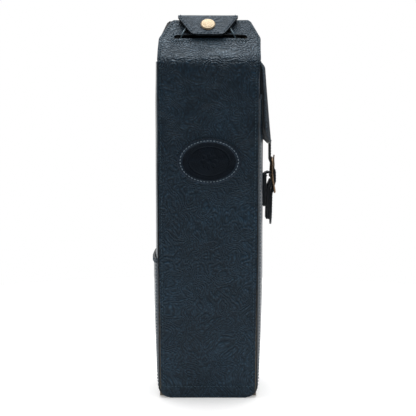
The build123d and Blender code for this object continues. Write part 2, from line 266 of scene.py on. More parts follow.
class Finish(Enum):
    """Every finish of the case."""

    HIDE = Leather("grained_hide", (0.001, 0.005, 0.012, 1), (0.014, 0.045, 0.082, 1),
                   grain=330.0, swirl=100.0, relief=1.0, roughness=0.40, depth=0.8 * MM)
    WALL = Leather("gusset_hide", (0.001, 0.005, 0.012, 1), (0.014, 0.045, 0.082, 1),
                   grain=330.0, swirl=100.0, relief=0.45, roughness=0.26, depth=0.6 * MM, coat=0.4)
    # The flap's hide is a darker, duller copy of the side hide: painted shade for the shadow that
    # the flap hangs in.
    FLAP = Leather("flap_hide_painted_shade", (0.001, 0.004, 0.009, 1), (0.010, 0.030, 0.055, 1),
                   grain=330.0, swirl=100.0, relief=0.9, roughness=0.55, depth=0.8 * MM,
                   gloss=0.22)
    SMOOTH = Leather("smooth_hide", (0.0015, 0.005, 0.013, 1), (0.012, 0.032, 0.065, 1),
                     grain=520.0, swirl=60.0, relief=0.8, roughness=0.40, depth=0.6 * MM)
    PRESSED = Leather("pressed_hide", (0.0008, 0.002, 0.006, 1), (0.003, 0.007, 0.016, 1),
                      grain=700.0, swirl=30.0, relief=0.5, roughness=0.36, gloss=0.25)
    # Near-black, dull leather for the tongue: painted shade for the deep shadow under the tab.
    INNER = Plain("tongue_painted_shade", (0.001, 0.0015, 0.003, 1), (0.003, 0.004, 0.006, 1),
                  roughness=0.8, gloss=0.12)
    EDGE = Plain("cut_edge", (0.004, 0.007, 0.010, 1), (0.011, 0.017, 0.023, 1), roughness=0.45)
    # Pale blue-grey edges: painted highlight for the light caught on the tongue's rounded edges.
    PALE_EDGE = Plain("edge_painted_highlight", (0.10, 0.16, 0.20, 1), (0.20, 0.28, 0.33, 1), roughness=0.4)
    LINING = Plain("suede_lining", (0.008, 0.009, 0.011, 1), (0.02, 0.022, 0.026, 1),
                   scale=700.0, relief=0.5, roughness=0.9, sheen=0.3)
    THREAD = Plain("waxed_thread", (0.025, 0.05, 0.07, 1), (0.07, 0.115, 0.15, 1),
                   scale=900.0, relief=0.4, roughness=0.6, gloss=0.15)
    PALE_THREAD = Plain("pale_thread", (0.10, 0.15, 0.20, 1), (0.24, 0.32, 0.38, 1),
                        scale=900.0, relief=0.4, roughness=0.5)
    BOARD = Plain("grey_board", (0.16, 0.14, 0.11, 1), (0.26, 0.23, 0.18, 1), roughness=0.9)
    GOLD = Plain("pale_gold", (0.30, 0.235, 0.15, 1), (0.60, 0.51, 0.38, 1),
                 scale=1500.0, relief=1.0, roughness=0.6, metallic=1.0)
    BRASS = Plain("antique_brass", (0.10, 0.065, 0.04, 1), (0.34, 0.23, 0.14, 1),
                  scale=420.0, relief=0.3, roughness=0.4, metallic=1.0)
    STEEL = Plain("plain_steel", (0.3, 0.3, 0.3, 1), (0.45, 0.45, 0.45, 1),
                  roughness=0.35, metallic=1.0)

    @property
    def material(self) -> bpy.types.Material:
        """The finish's material, made the first time that it is asked for."""
        return bpy.data.materials.get(self.value.name) or self.value.material()


# ---- bent lines and sheets -------------------------------------------------------------------
class Route:
    """A bent line in a plane: straight runs joined by round bends."""

    STEP = 0.5 * MM

    def __init__(self, corners: list[tuple[float, float]], radius: float) -> None:
        """Rounds the corners.

        Args:
            corners: the line's corners, in millimetres.
            radius: the bends' radius in millimetres, cut down where a run is short.
        """
        marks = [Vector(c) * MM for c in corners]
        self.points = [marks[0]]
        for before, corner, after in zip(marks, marks[1:], marks[2:]):
            back, ahead = (before - corner), (after - corner)
            half = back.angle(ahead) / 2
            reach = min(radius * MM / math.tan(half), 0.45 * back.length, 0.45 * ahead.length)
            middle = corner + (back.normalized() + ahead.normalized()).normalized() * (
                reach / math.cos(half))
            start = corner + back.normalized() * reach - middle
            stop = corner + ahead.normalized() * reach - middle
            sweep = start.angle_signed(stop)
            count = max(3, int(abs(sweep) * start.length / self.STEP))
            for i in range(count + 1):
                turn = -sweep * i / count
                cosine, sine = math.cos(turn), math.sin(turn)
                self.points.append(middle + Vector(
                    (start.x * cosine - start.y * sine, start.x * sine + start.y * cosine)))
        self.points.append(marks[-1])
        self.marks = [0.0]
        for first, second in zip(self.points, self.points[1:]):
            self.marks.append(self.marks[-1] + (second - first).length)

    @property
    def length(self) -> float:
        """Length of the whole line."""
        return self.marks[-1]

    def at(self, along: float) -> tuple[Vector, Vector]:
        """Point and outward normal at a length along the line.

        Args:
            along: the length along the line.

        Returns:
            The point and the normal.
        """
        low, high = 0, len(self.marks) - 2
        while low < high:
            middle = (low + high + 1) // 2
            low, high = (middle, high) if self.marks[middle] <= along else (low, middle - 1)
        first, second = self.points[low], self.points[low + 1]
        run = (second - first).normalized()
        point = first + run * (along - self.marks[low])
        return point, Vector((run.y, -run.x))

    def along_to(self, height: float) -> float:
        """Length along the line where it first reaches a height, in metres.

        Args:
            height: the height to reach.

        Returns:
            The length along the line, or the whole length where it stays lower.
        """
        for mark, point in zip(self.marks, self.points):
            if point.y >= height:
                return mark
        return self.length


class Side(Enum):
    """The four sides of the case, as the signs that place a point on each."""

    RIGHT = "right"
    LEFT = "left"
    FRONT = "front"
    BACK = "back"

    def place(self, across: float, out: float, up: float) -> Vector:
        """A point from its distance across the side, out from the middle, and up.

        Args:
            across: distance across the side.
            out: distance out from the case's middle.
            up: height above the ground.

        Returns:
            The point.
        """
        return Vector({
            "right": (across, -out, up),
            "left": (-across, out, up),
            "front": (out, across, up),
            "back": (-out, -across, up),
        }[self.value])


def no_relief(across: float, along: float) -> float:
    """A surface with no relief."""
    return 0.0


def no_sway(across: float, along: float) -> tuple[float, float]:
    """A sheet that lies where it was cut."""
    return 0.0, 0.0


def ease(value: float, low: float, high: float) -> float:
    """Smooth step from 0 at low to 1 at high."""
    share = min(1.0, max(0.0, (value - low) / (high - low)))
    return share * share * (3 - 2 * share)


def ripple(place: Vector, size: float, seed: float) -> float:
    """Soft noise from -1 to 1 with bumps of about a size, in metres."""
    return noise.noise(place / size + Vector((seed, seed * 1.7, seed * 0.6)))


class Table:
    """A size that changes along a sheet, as straight runs between given places."""

    def __init__(self, *rows: tuple[float, float]) -> None:
        """Keeps rows of (length along, size), in millimetres."""
        self.rows = [(a * MM, b * MM) for a, b in rows]

    def __call__(self, along: float) -> float:
        """The size at a length along the sheet.

        Args:
            along: the length along the sheet.

        Returns:
            The size there.
        """
        if along <= self.rows[0][0]:
            return self.rows[0][1]
        for (a0, b0), (a1, b1) in zip(self.rows, self.rows[1:]):
            if along <= a1:
                return b0 + (b1 - b0) * (along - a0) / (a1 - a0)
        return self.rows[-1][1]


def corner_cut(distance: float, radius: float) -> float:
    """How far a round corner cuts in, at a distance from the end of the edge.

    Args:
        distance: distance from the end of the edge.
        radius: the corner's radius.

    Returns:
        The depth of the cut.
    """
    if distance >= radius:
        return 0.0
    return radius - math.sqrt(max(0.0, radius ** 2 - (radius - distance) ** 2))


@dataclass
class Sheet:
    """A sheet cut flat and bent along a route on one side of the case."""

    side: Side
    route: Route
    half_width: Callable[[float], float]
    pitch: float = 1.5 * MM
    relief: Callable[[float, float], float] = no_relief
    sway: Callable[[float, float], tuple[float, float]] = no_sway

    def spot(self, distance: float, along: float, lift: float = 0.0) -> Vector:
        """A point on the sheet, from its distance across and length along.

        Args:
            distance: distance across the sheet from its middle.
            along: length along the sheet.
            lift: height off the surface.

        Returns:
            The point.
        """
        aside, further = self.sway(distance, along)
        point, normal = self.route.at(along + further)
        out = point + normal * (self.relief(distance, along) + lift)
        return self.side.place(distance + aside, out.x, out.y)

    def flat(self, start: float = 0.0, stop: Optional[float] = None) -> bmesh.types.BMesh:
        """The sheet before it is bent: x is the share of the half width, y the length along.

        Args:
            start: length along the sheet where the cut starts.
            stop: length along where it stops, or nothing for the whole sheet.

        Returns:
            The flat cut.
        """
        stop = self.route.length if stop is None else stop
        middle = (start + stop) / 2
        columns = max(4, int(2 * self.half_width(middle) / self.pitch))
        rows = max(4, int((stop - start) / self.pitch))
        bm = bmesh.new()
        bmesh.ops.create_grid(bm, x_segments=columns, y_segments=rows, size=1.0)
        bmesh.ops.scale(bm, vec=(1.0, (stop - start) / 2, 1.0), verts=bm.verts)
        bmesh.ops.translate(bm, vec=(0, middle, 0), verts=bm.verts)
        return bm

    def bend(self, bm: bmesh.types.BMesh, lift: float = 0.0) -> bmesh.types.BMesh:
        """Bends a flat cut to the surface.

        Args:
            bm: the flat cut.
            lift: height off the surface.

        Returns:
            The same mesh, bent.
        """
        for vert in bm.verts:
            along = vert.co.y
            vert.co = self.spot(vert.co.x * self.half_width(along), along, lift)
        return bm

    def seam(self, inset: float, start: float, stop: float, hand: int) -> list:
        """A seam's line inside one edge, as distances across and lengths along.

        Args:
            inset: how far inside the edge it runs.
            start: length along the sheet where it starts.
            stop: length along where it stops.
            hand: 1 or -1 for the edge.

        Returns:
            The line's points.
        """
        count = max(2, int(abs(stop - start) / (2 * MM)))
        alongs = [start + (stop - start) * i / count for i in range(count + 1)]
        return [(hand * (self.half_width(a) - inset), a) for a in alongs]


def punch(bm: bmesh.types.BMesh, outline: list[Vector]) -> None:
    """Cuts a convex hole in a flat sheet.

    Args:
        bm: the flat sheet.
        outline: the hole's corners, in order round it.
    """
    low = Vector((min(p.x for p in outline), min(p.y for p in outline)))
    high = Vector((max(p.x for p in outline), max(p.y for p in outline)))
    middle = (low + high) / 2
    span = (high - low) * 0.75

    def near() -> list:
        """The sheet's elements close to the hole.

        Returns:
            The vertices, edges and faces.
        """
        faces = [f for f in bm.faces
                 if abs(f.calc_center_median().x - middle.x) < span.x
                 and abs(f.calc_center_median().y - middle.y) < span.y * 1.6]
        edges = {e for f in faces for e in f.edges}
        verts = {v for f in faces for v in f.verts}
        return [*verts, *edges, *faces]

    for first, second in zip(outline, outline[1:] + outline[:1]):
        run = second - first
        bmesh.ops.bisect_plane(bm, geom=near(), plane_co=first.to_3d(),
                               plane_no=Vector((run.y, -run.x, 0)), dist=1e-7)
    inside = []
    for face in bm.faces:
        centre = face.calc_center_median().xy
        turns = [(b - a).cross(centre - a) for a, b in zip(outline, outline[1:] + outline[:1])]
        if all(t > 0 for t in turns) or all(t < 0 for t in turns):
            inside.append(face)
    bmesh.ops.delete(bm, geom=inside, context="FACES")


def rounded_outline(middle: tuple[float, float], size: tuple[float, float],
                    radius: tuple[float, float], steps: int = 5) -> list[Vector]:
    """Corners of a rounded rectangle in a flat sheet's own units.

    Args:
        middle: its middle.
        size: its two sizes.
        radius: its corners' radius in each direction.
        steps: runs round each corner.

    Returns:
        The corners, in order round it.
    """
    points = []
    for corner in range(4):
        sign = ((1, 1), (-1, 1), (-1, -1), (1, -1))[corner]
        centre = [middle[i] + sign[i] * (size[i] / 2 - radius[i]) for i in (0, 1)]
        for i in range(steps + 1):
            angle = math.pi / 2 * (corner + i / steps)
            points.append(Vector((centre[0] + radius[0] * math.cos(angle),
                                  centre[1] + radius[1] * math.sin(angle))))
    return points


# ---- finishing pieces ------------------------------------------------------------------------
@dataclass
class Joining:
    """How a piece goes with the case: one body, or two bodies that it spans."""

    body: str
    other: str = ""
    start: tuple[float, float, float] = (0, 0, 0)
    end: tuple[float, float, float] = (0, 0, 0)


def make_piece(name: str, bm: bmesh.types.BMesh, finish: Finish, joining: Joining,
               replaces: Iterable[str] = (), thickness: float = 0.0,
               second: Finish = Finish.EDGE) -> bpy.types.Object:
    """Turns a bmesh into a finished piece.

    Args:
        name: the piece's name.
        bm: its mesh, which is used up.
        finish: its main finish.
        joining: the body or bodies that it goes with.
        replaces: the nodes that it stands for.
        thickness: a sheet's thickness, put on its inner side.
        second: the finish of a sheet's cut edges, or of the faces marked with index 1.

    Returns:
        The piece.
    """
    for face in bm.faces:
        face.smooth = True
    mesh = bpy.data.meshes.new(name)
    bm.to_mesh(mesh)
    bm.free()
    piece = bpy.data.objects.new(name, mesh)
    bpy.context.collection.objects.link(piece)
    mesh.materials.append(finish.material)
    mesh.materials.append(second.material)
    if thickness:
        solid = piece.modifiers.new("thickness", "SOLIDIFY")
        solid.thickness = thickness
        solid.offset = -1.0
        solid.material_offset_rim = 1
        bevel = piece.modifiers.new("soft_edges", "BEVEL")
        bevel.width = thickness * 0.22
        bevel.segments = 2
        bevel.limit_method = "ANGLE"
        bevel.angle_limit = math.radians(50)
    if joining.other:
        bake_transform(piece)
    else:
        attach(piece, joining.body)
    if replaces:
        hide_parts(*replaces)
    log.info("%s: %d faces", name, len(mesh.polygons))
    return piece


def straight(first: tuple[float, float], second: tuple[float, float], count: int = 24) -> list:
    """Points of a straight line in a sheet's own distances.

    Args:
        first: where the line starts, across and along.
        second: where it stops.
        count: how many runs it is cut into.

    Returns:
        The line's points.
    """
    return [(first[0] + (second[0] - first[0]) * i / count,
             first[1] + (second[1] - first[1]) * i / count) for i in range(count + 1)]


@dataclass(frozen=True)
class Stitching:
    """A row of short sunk stitches."""

    pitch: float = 3.6 * MM
    length: float = 2.5 * MM
    radius: float = 0.5 * MM

    def along(self, bm: bmesh.types.BMesh, surface: Callable[..., Vector],
              corners: list[tuple[float, float]], closed: bool = False) -> None:
        """Sews along a line on a surface.

        Args:
            bm: the mesh that takes the stitches.
            surface: the surface, as a function of two coordinates and a lift.
            corners: the line's points in those coordinates.
            closed: whether the line joins its own start.
        """
        line = list(corners) + ([corners[0]] if closed else [])
        spots = [surface(*c) for c in line]
        marks = [0.0]
        for first, second in zip(spots, spots[1:]):
            marks.append(marks[-1] + (second - first).length)
        count = max(1, round(marks[-1] / self.pitch))
        leg = 0
        for i in range(count):
            mark = marks[-1] * (i + 0.5) / count
            while leg < len(marks) - 2 and marks[leg + 1] < mark:
                leg += 1
            share = (mark - marks[leg]) / max(marks[leg + 1] - marks[leg], 1e-9)
            (a0, l0), (a1, l1) = line[leg], line[leg + 1]
            a, b = a0 + (a1 - a0) * share, l0 + (l1 - l0) * share
            run = (spots[leg + 1] - spots[leg]).normalized()
            up = (surface(a, b, MM) - surface(a, b, 0.0)).normalized()
            aside = up.cross(run).normalized()
            turn = Matrix((run, aside, up)).transposed().to_4x4()
            size = Matrix.Diagonal((self.length / 2, self.radius, self.radius, 1))
            spot = Matrix.Translation(surface(a, b, self.radius * 0.25))
            bmesh.ops.create_uvsphere(bm, u_segments=6, v_segments=4, radius=1.0,
                                      matrix=spot @ turn @ size)

    def edges(self, bm: bmesh.types.BMesh, sheet: Sheet, inset: float, start: float,
              stop: float) -> None:
        """Sews down both long edges of a sheet, from one length along to another."""
        for hand in (-1, 1):
            self.along(bm, sheet.spot, sheet.seam(inset, start, stop, hand))

    def across(self, bm: bmesh.types.BMesh, sheet: Sheet, along: float, reach: float,
               count: int = 24, raised: float = 0.0) -> None:
        """Sews straight across a sheet.

        Args:
            bm: the mesh that takes the stitches.
            sheet: the sheet.
            along: length along the sheet where the row lies.
            reach: how far it goes to either side of the middle.
            count: how many runs the row is cut into.
            raised: how high it lies over the sheet.
        """
        self.along(bm, lambda a, b, lift=0.0: sheet.spot(a, b, lift + raised),
                   straight((-reach, along), (reach, along), count))


def spun(profile: Iterable[tuple[float, float]], steps: int) -> bmesh.types.BMesh:
    """A shape turned round the upright axis.

    Args:
        profile: its outline, as pairs of distance out and height.
        steps: faces round it.

    Returns:
        The shape's mesh.
    """
    bm = bmesh.new()
    verts = [bm.verts.new((out, 0.0, up)) for out, up in profile]
    edges = [bm.edges.new(pair) for pair in zip(verts, verts[1:])]
    bmesh.ops.spin(bm, geom=[*verts, *edges], cent=(0, 0, 0), axis=(0, 0, 1),
                   angle=math.tau, steps=steps, use_merge=True)
    bmesh.ops.remove_doubles(bm, verts=bm.verts, dist=1e-5)
    return bm


def tube(bm: bmesh.types.BMesh, points: list[Vector], wide: float, deep: float,
         closed: bool = False, sides: int = 12) -> None:
    """A rod of oval section along a line of points.

    Args:
        bm: the mesh that takes the rod.
        points: the rod's middle line.
        wide: half its width across the line, level with the ground.
        deep: half its depth.
        closed: whether the rod joins its own start.
        sides: faces round the section.
    """
    rings = []
    count = len(points)
    for i, point in enumerate(points):
        before = points[i - 1] if closed or i else points[0]
        after = points[(i + 1) % count] if closed or i < count - 1 else points[-1]
        run = (after - before).normalized()
        level = run.cross(Vector((1, 0, 0)))
        level = (level if level.length > 0.2 else run.cross(Vector((0, 0, 1)))).normalized()
        turn = Matrix((level, run.cross(level), run)).transposed().to_4x4()
        size = Matrix.Diagonal((wide, deep, 1, 1))
        ring = bmesh.ops.create_circle(bm, segments=sides, radius=1.0, cap_ends=False,
                                       matrix=Matrix.Translation(point) @ turn @ size)
        rings.append(list(ring["verts"]))
    pairs = list(zip(rings, rings[1:] + (rings[:1] if closed else [])))
    for first, second in pairs:
        edges = [e for e in bm.edges if e.verts[0] in first and e.verts[1] in first]
        edges += [e for e in bm.edges if e.verts[0] in second and e.verts[1] in second]
        bmesh.ops.bridge_loops(bm, edges=edges)
    if not closed:
        for ring in (rings[0], rings[-1]):
            bmesh.ops.contextual_create(bm, geom=ring)
    bmesh.ops.recalc_face_normals(bm, faces=bm.faces)


# ---- studio ----------------------------------------------------------------------------------
@dataclass
class Studio:
    """Camera, light and floor."""

    distance: float = 1.2005
    elevation: float = math.radians(6.0)
    lens: float = 95.0
    aim: Vector = field(default_factory=lambda: Vector((0.0, -0.055, 0.2125)))
    lamp_aim: Vector = field(default_factory=lambda: Vector((0, 0, 0.3)))
    dim_side: tuple[float, float] = (-0.40, 0.04)
    white_side: tuple[float, float] = (0.05, 1.0)
    floor_radius: float = 0.75
    floor_glow: float = 0.3

    def camera(self) -> None:
        """Makes the camera and the view."""
        scene = bpy.context.scene
        camera = bpy.data.objects.new("camera", bpy.data.cameras.new("camera"))
        scene.collection.objects.link(camera)
        scene.camera = camera
        camera.data.lens = self.lens
        camera.data.sensor_width = 36.0
        away = Vector((0, -math.cos(self.elevation), math.sin(self.elevation)))
        camera.location = self.aim + away * self.distance
        camera.rotation_euler = (math.pi / 2 - self.elevation, 0, 0)
        scene.view_settings.view_transform = "Standard"

    def lamp(self, name: str, place: Vector, target: Vector, size: float, power: float) -> None:
        """Adds a square soft light.

        Args:
            name: the light's name.
            place: where it stands.
            target: the point that it faces.
            size: the length of its side.
            power: its power in watts.
        """
        light = bpy.data.lights.new(name, "AREA")
        light.size = size
        light.energy = power
        lamp = bpy.data.objects.new(name, light)
        bpy.context.collection.objects.link(lamp)
        lamp.location = place
        lamp.rotation_euler = (target - place).to_track_quat("-Z", "Y").to_euler()

    def light(self) -> None:
        """Makes the lamps and the surround, white behind the case and dim behind the camera.

        Each side of the surround is its direction's Y and its brightness.
        """
        world = bpy.data.worlds.new("surround")
        world.use_nodes = True
        bpy.context.scene.world = world
        tree = world.node_tree
        place = tree.nodes.new("ShaderNodeTexCoord")
        parts = tree.nodes.new("ShaderNodeSeparateXYZ")
        span = tree.nodes.new("ShaderNodeMapRange")
        for end, (direction, brightness) in (("Min", self.dim_side), ("Max", self.white_side)):
            span.inputs[f"From {end}"].default_value = direction
            span.inputs[f"To {end}"].default_value = brightness
        tree.links.new(place.outputs["Generated"], parts.inputs[0])
        tree.links.new(parts.outputs["Y"], span.inputs["Value"])
        tree.links.new(span.outputs[0], tree.nodes["Background"].inputs["Strength"])
        tree.nodes["Background"].inputs["Color"].default_value = (1.0, 1.0, 1.0, 1.0)
        self.lamp("front_fill", Vector((0.0, -0.8, 1.25)), self.lamp_aim, size=0.7, power=1.9)
        self.lamp("overhead", Vector((0.0, 0.20, 1.6)), self.lamp_aim, size=0.9, power=20.0)

    def floor(self) -> None:
        """Makes the pale floor."""
        bm = bmesh.new()
        bmesh.ops.create_circle(bm, cap_ends=True, segments=64, radius=self.floor_radius)
        mesh = bpy.data.meshes.new("floor")
        bm.to_mesh(mesh)
        bm.free()
        floor = bpy.data.objects.new("floor", mesh)
        bpy.context.collection.objects.link(floor)
        shade = Shade("floor_paint", Base_Color=(0.9, 0.9, 0.9, 1.0), Roughness=0.9,
                      Emission_Color=(1.0, 1.0, 1.0, 1.0), Emission_Strength=self.floor_glow)
        mesh.materials.append(shade.material)


# ---- side panels and their roofs -------------------------------------------------------------
@dataclass
class SidePanel:
    """One tall side with its roof panel, cut from a single hide."""

    side: Side
    roof: str
    seed: float
    lean: tuple[float, float]
    slot_shift: float
    fold_height: float = 372 * MM
    thickness: float = 2.0 * MM
    seam_inset: float = 3.0 * MM
    slot_middle: float = 36.2 * MM
    slot_length: float = 81.0 * MM
    slot_width: float = 6.4 * MM
    base_corner: float = 11 * MM
    base_seam: float = 13 * MM
    bend_reach: float = 6 * MM
    widest: float = 56 * MM

    def __post_init__(self) -> None:
        """Lays out the hide."""
        route = Route([(55, 0.0), (55.5, 372.6), (8.6, 418.6)], 22.0)
        self.fold = route.along_to(self.fold_height)
        top = route.length - self.fold
        fold = self.fold / MM
        self.bare = Table((0, 52.3), (fold - 60, 54.8), (fold - 6, 55.1), (fold + 2, 56.2),
                          (fold + 34, 56.0), (fold + 37, 55.3), (fold + 40, 53.9),
                          (fold + top / MM - 3, 44.6), (fold + top / MM, 41.5))
        self.sheet = Sheet(self.side, route, self.half_width, 1.5 * MM, self.relief, self.sway)

    def half_width(self, along: float) -> float:
        """Half the hide's width, with round lower corners."""
        return self.bare(along) - corner_cut(along, self.base_corner)

    def relief(self, across: float, along: float) -> float:
        """Soft waves in the hide and a swell along the slot's lips.

        Args:
            across: distance across the hide.
            along: length along it.

        Returns:
            The height off the route.
        """
        place = Vector((across, along, 0.0))
        waves = 0.45 * ripple(place, 0.055, self.seed) + 0.16 * ripple(place, 0.016, self.seed + 4)
        share = abs(across) / self.widest
        settle = ease(along, 0.0, 0.03) * (1 - 0.6 * share ** 6)
        swell = -0.5 * share ** 8
        height = (waves * settle + swell) * MM
        up = (along - self.fold - self.slot_middle) / (6 * MM)
        near = math.exp(-up * up) * (1 - ease(abs(across), 0.036, 0.046))
        return height + near * 1.1 * MM

    def sway(self, across: float, along: float) -> tuple[float, float]:
        """How the roof leans to one side, and how the slot's lips arch.

        Args:
            across: distance across the hide.
            along: length along it.

        Returns:
            The shifts across and along.
        """
        low, high = self.lean
        lean = low * ease(along, self.fold - 0.03, self.fold + 0.01)
        lean += (high - low) * ease(along, self.fold + 0.01, self.fold + 0.075)
        up = (along - self.fold - self.slot_middle) / (9 * MM)
        arch = 1.6 * MM * (1 - min(1.0, (across / 0.042) ** 2)) * math.exp(-up * up)
        return lean, arch

    def build(self) -> None:
        """Makes the hide and its seams."""
        name = self.side.value
        flat = self.sheet.flat()
        middle = self.fold + self.slot_middle
        half = self.sheet.half_width(middle)
        shift = self.slot_shift
        size = (self.slot_length / half, self.slot_width)
        radius = (self.slot_width / 2 / half, self.slot_width / 2.001)
        punch(flat, rounded_outline((shift / half, middle), size, radius))
        start = self.side.place(0, WALL, self.fold_height - self.bend_reach)
        end = self.side.place(0, WALL - 3 * MM, self.fold_height + self.bend_reach)
        joining = Joining("case", self.roof, start, end)
        make_piece(f"{name}_hide", self.sheet.bend(flat), Finish.HIDE, joining,
                   (f"{name}_side_panel", f"{self.roof}_panel"), self.thickness)
        make_piece(f"{name}_seams", self.seams(), Finish.THREAD, joining)

    def seams(self) -> bmesh.types.BMesh:
        """Stitches down both edges, along the base and hem, and round the slot.

        Returns:
            The stitches' mesh.
        """
        bm = bmesh.new()
        sewing = Stitching()
        sheet, inset, top = self.sheet, self.seam_inset, self.sheet.route.length
        sewing.edges(bm, sheet, inset, self.base_seam, top - 5 * MM)
        sewing.across(bm, sheet, self.base_seam, 48.5 * MM)
        sewing.across(bm, sheet, top - inset, 40 * MM)
        middle = self.fold + self.slot_middle
        size = (self.slot_length + 2 * inset, self.slot_width + 2 * inset)
        ring = rounded_outline((self.slot_shift, middle), size, (size[1] / 2, size[1] / 2.001), 8)
        sewing.along(bm, sheet.spot, [tuple(p) for p in ring], closed=True)
        return bm


# ---- the long gusset and the pockets ---------------------------------------------------------
@dataclass
class Gusset:
    """The strip that makes the back, the base and the front, with its two slip pockets."""

    half_width: float = 53.4 * MM
    thickness: float = 2.0 * MM
    pocket_thickness: float = 1.8 * MM
    front_swell: float = 3.2 * MM
    back_swell: float = 3.3 * MM
    pocket_foot: float = 9.0
    pocket_half_width: float = 52 * MM
    hem_thickness: float = 0.7 * MM
    seam_inset: float = 3 * MM

    def __post_init__(self) -> None:
        """Lays out the strip, from the back's top edge to the front's."""
        corners = [(-55.5, 371.6), (-55.5, 0.3), (55.5, 0.3), (55.5, 371.6)]
        self.sheet = Sheet(Side.FRONT, Route(corners, 12.0), lambda along: self.half_width,
                           2.0 * MM, self.relief)

    def swell(self, across: float, up: float, most: float) -> float:
        """How far a wall swells out, at a place on it.

        Args:
            across: distance across the wall.
            up: height up the wall.
            most: the swell at the wall's middle.

        Returns:
            The swell.
        """
        share = max(0.0, 1 - (across / self.half_width) ** 2)
        rise = ease(up, 4 * MM, 120 * MM) * (0.75 + 0.25 * ease(0.372 - up, 0, 0.05))
        return most * share ** 0.6 * rise - 0.4 * MM * (abs(across) / self.half_width) ** 14

    def relief(self, across: float, along: float) -> float:
        """The strip's swell and soft waves.

        Args:
            across: distance across the strip.
            along: length along it.

        Returns:
            The height off the route.
        """
        point, normal = self.sheet.route.at(along)
        most = self.front_swell if point.x > 0 else self.back_swell
        waves = 0.3 * MM * ripple(Vector((across, along, 0.0)), 0.05, 11.0)
        return (self.swell(across, point.y, most) + waves) * abs(normal.x)

    def pocket(self, side: Side, mouth: float, extra: float, seed: float) -> Sheet:
        """A slip pocket's front, lying on the wall.

        Args:
            side: the wall that it lies on.
            mouth: the height of its mouth, in millimetres.
            extra: how far it puffs out past the wall.
            seed: the seed of its waves.

        Returns:
            The pocket's sheet.
        """
        most = self.front_swell if side is Side.FRONT else self.back_swell

        def relief(across: float, along: float) -> float:
            """The wall's swell with the pocket's own puff and its sewn-down edges.

            Args:
                across: distance across the pocket.
                along: length along it.

            Returns:
                The height off the route.
            """
            up = self.pocket_foot * MM + along
            waves = 0.25 * MM * ripple(Vector((across, along, 0.0)), 0.06, seed)
            share = abs(across) / self.pocket_half_width
            puff = extra * max(0.0, 1 - share ** 2) * ease(along, 0, 0.06)
            sunk = max(share ** 8, 1 - ease(along, 0, 0.03)) * 2.0 * MM
            return self.swell(across, up, most) + puff + waves + 0.15 * MM - sunk

        route = Route([(57.5, self.pocket_foot), (57.5, mouth)], 1.0)
        half = self.pocket_half_width / MM
        width = Table((0, half - 1.4), (1.5, half), (20, half))
        return Sheet(side, route, width, 1.6 * MM, relief)

    def build(self) -> None:
        """Makes the strip, the pockets, their bound mouths and their seams."""
        case = Joining("case")
        make_piece("gusset", self.sheet.bend(self.sheet.flat()), Finish.WALL, case,
                   ("front_panel", "back_panel", "base_panel"), self.thickness)
        for side, mouth, extra, seed in ((Side.FRONT, 336.0, 1.0 * MM, 21.0),
                                         (Side.BACK, 156.0, 0.6 * MM, 22.0)):
            name, inset = side.value, self.seam_inset
            sheet = self.pocket(side, mouth, extra, seed)
            top = sheet.route.length
            make_piece(f"{name}_pocket", sheet.bend(sheet.flat()), Finish.WALL, case,
                       (f"{name}_pocket_front", f"{name}_pocket_welt"), self.pocket_thickness)
            binding = sheet.bend(sheet.flat(top - 5 * MM, top + 0.3 * MM), self.hem_thickness)
            make_piece(f"{name}_pocket_hem", binding, Finish.SMOOTH, case,
                       (f"{name}_pocket_binding",), 1.0 * MM)
            bm, sewing = bmesh.new(), Stitching()
            sewing.edges(bm, sheet, inset, inset, top - 6 * MM)
            sewing.across(bm, sheet, inset, self.pocket_half_width - inset)
            make_piece(f"{name}_pocket_seams", bm, Finish.THREAD, case)
            bm = bmesh.new()
            for from_mouth in (1.3 * MM, 3.9 * MM):
                sewing.across(bm, sheet, top - from_mouth, 50.5 * MM, raised=self.hem_thickness)
            make_piece(f"{name}_hem_seams", bm, Finish.THREAD, case)


